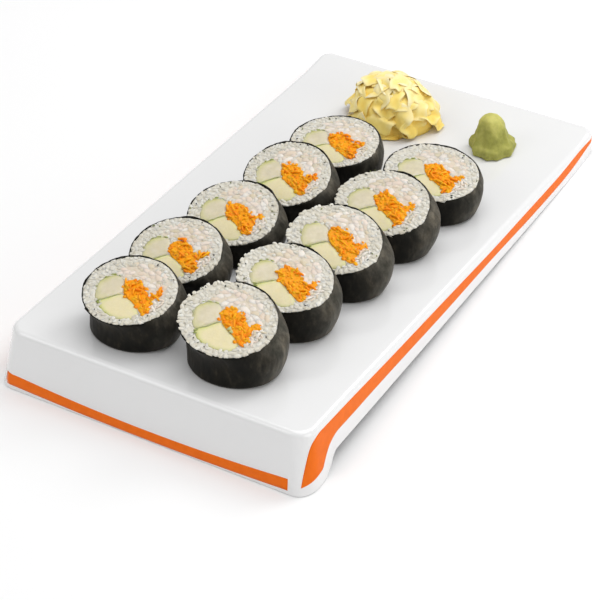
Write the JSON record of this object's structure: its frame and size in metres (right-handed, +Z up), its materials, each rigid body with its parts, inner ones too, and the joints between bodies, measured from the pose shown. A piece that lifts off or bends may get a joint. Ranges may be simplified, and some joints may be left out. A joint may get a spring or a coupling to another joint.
{
  "type": "maki sushi roll platter",
  "caption": "Rectangular porcelain ramp plate with thick sliced maki rolls standing in two rows, a heap of pickled ginger and a mound of wasabi.",
  "frame": {"origin": "centre of the plate's footprint on the table, under its feet", "axes": "+Z up from the table, +Y along the plate from its deep front foot to its shallow far end, +X across"},
  "size_m": [0.179, 0.3116, 0.0615],
  "materials": {
    "porcelain": "glossy white glaze with flat orange stripes",
    "nori": "dark seaweed sheet with a soft sheen and faint streaks",
    "rice": "moist, slightly translucent grains",
    "carrot": "moist shreds",
    "avocado": "smooth and soft, yellow green",
    "cucumber": "moist and translucent, with a green rind",
    "ginger": "moist thin translucent slices",
    "wasabi": "soft paste with a slight gloss"
  },
  "bodies": {
    "root": {"plate": "porcelain", "left1_nori": "nori", "left1_rice": "rice", "left1_carrot": "carrot", "left1_avocado": "avocado", "left1_cucumber": "cucumber", "left2_nori": "nori", "left2_rice": "rice", "left2_carrot": "carrot", "left2_avocado": "avocado", "left2_cucumber": "cucumber", "left3_nori": "nori", "left3_rice": "rice", "left3_carrot": "carrot", "left3_avocado": "avocado", "left3_cucumber": "cucumber", "left4_nori": "nori", "left4_rice": "rice", "left4_carrot": "carrot", "left4_avocado": "avocado", "left4_cucumber": "cucumber", "left5_nori": "nori", "left5_rice": "rice", "left5_carrot": "carrot", "left5_avocado": "avocado", "left5_cucumber": "cucumber", "right1_nori": "nori", "right1_rice": "rice", "right1_carrot": "carrot", "right1_avocado": "avocado", "right1_cucumber": "cucumber", "right2_nori": "nori", "right2_rice": "rice", "right2_carrot": "carrot", "right2_avocado": "avocado", "right2_cucumber": "cucumber", "right3_nori": "nori", "right3_rice": "rice", "right3_carrot": "carrot", "right3_avocado": "avocado", "right3_cucumber": "cucumber", "right4_nori": "nori", "right4_rice": "rice", "right4_carrot": "carrot", "right4_avocado": "avocado", "right4_cucumber": "cucumber", "right5_nori": "nori", "right5_rice": "rice", "right5_carrot": "carrot", "right5_avocado": "avocado", "right5_cucumber": "cucumber", "pickled_ginger": "ginger", "wasabi": "wasabi"}
  },
  "joints": []
}
